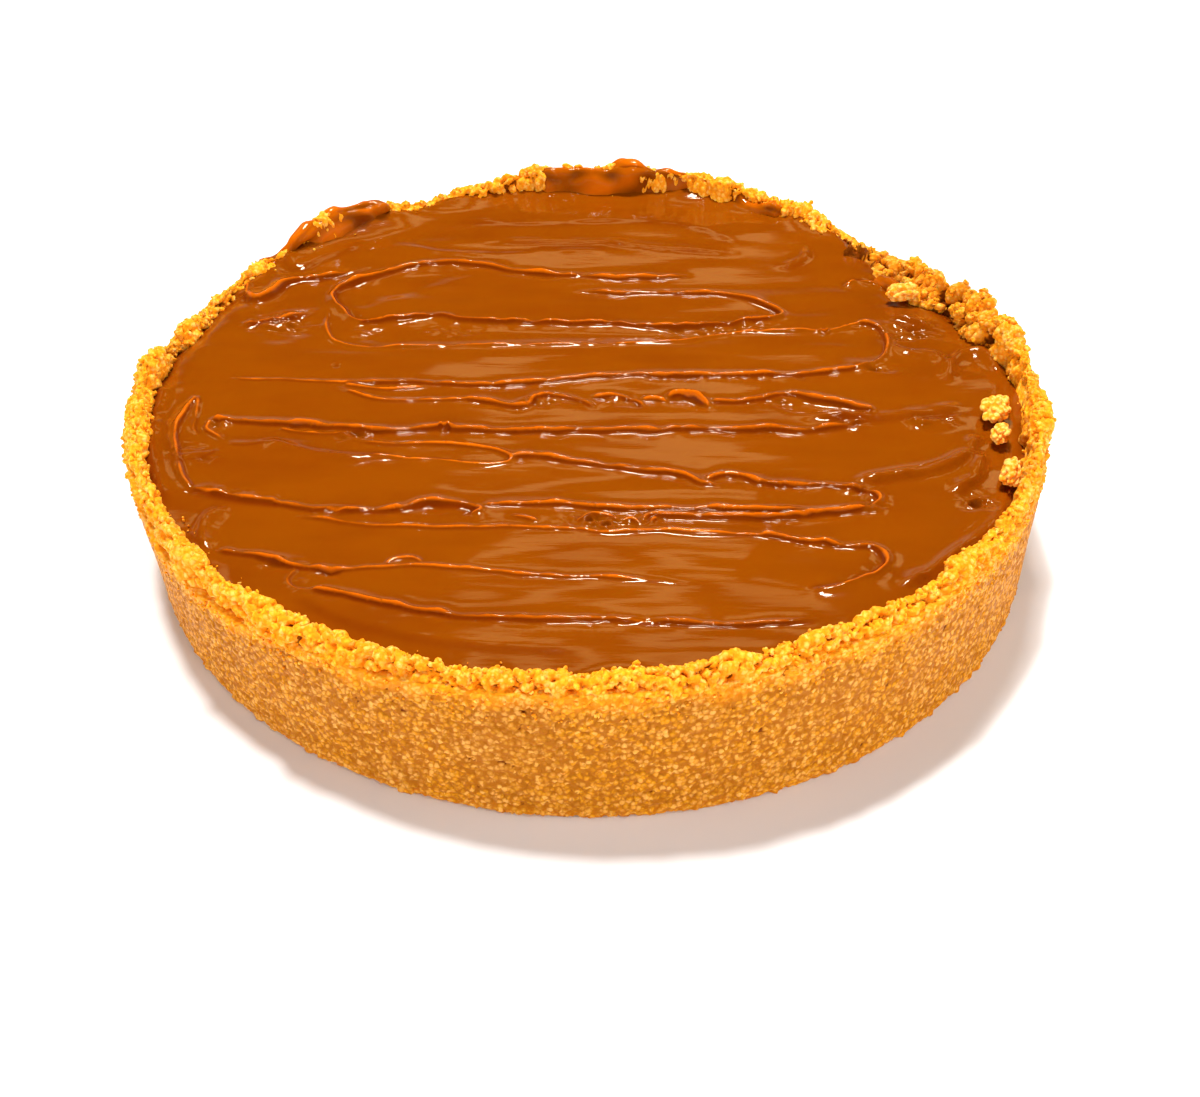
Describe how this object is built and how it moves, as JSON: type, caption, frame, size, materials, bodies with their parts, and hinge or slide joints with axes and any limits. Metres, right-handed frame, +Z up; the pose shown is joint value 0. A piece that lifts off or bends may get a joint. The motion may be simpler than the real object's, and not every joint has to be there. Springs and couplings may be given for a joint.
{
  "type": "baked cheesecake",
  "caption": "Whole round baked cheesecake in a tall crumb crust with a broken rim, its top filled with caramel spread in long knife swirls",
  "frame": {"origin": "centre of the flat underside of the cake, on the surface it stands on", "axes": "+Z up out of the caramel; -Y towards the side where the rim is lowest and the knife ridges run left to right; +X to the right seen from there"},
  "size_m": [0.247, 0.2444, 0.049],
  "materials": {
    "baked_crumb": "baked biscuit crumb, matte and sandy, golden brown",
    "caramel": "thick caramel, glossy and slightly see-through",
    "light_crumb": "loose biscuit crumb, matte, light golden"
  },
  "bodies": {
    "root": {"crumb_crust": "baked_crumb", "caramel_topping": "caramel", "crumb_lump_1": "light_crumb", "crumb_lump_2": "light_crumb", "crumb_lump_3": "light_crumb", "crumb_lump_4": "light_crumb"}
  },
  "joints": []
}
